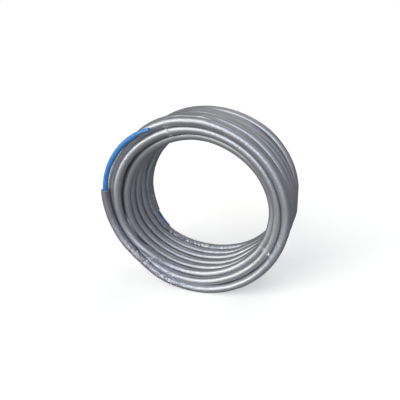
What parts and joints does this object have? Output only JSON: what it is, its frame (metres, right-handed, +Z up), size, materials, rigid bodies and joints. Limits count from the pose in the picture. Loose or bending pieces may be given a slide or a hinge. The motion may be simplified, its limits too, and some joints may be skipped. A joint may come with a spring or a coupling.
{
  "type": "coil of pre-insulated pipe",
  "caption": "Coil of grey foam-sleeved plastic pipe in a blue corrugated conduit, wound in layers, held by clear bands, with both ends cut back.",
  "frame": {"origin": "the lowest point of the coil's rim, below the middle of its axis, on the floor", "axes": "+Z up; the coil's axis along Y, its front face with the loose outer end towards -Y; the loose end on the -X side"},
  "size_m": [0.8632, 0.3295, 0.83],
  "materials": {
    "insulation": "satin",
    "conduit": "satin",
    "pipe": "satin",
    "band": "glossy"
  },
  "bodies": {
    "root": {"insulated_coil": "insulation", "outer_conduit": "conduit", "outer_pipe": "pipe", "inner_conduit": "conduit", "inner_pipe": "pipe", "band_top": "band", "band_left": "band", "band_right": "band"}
  },
  "joints": []
}
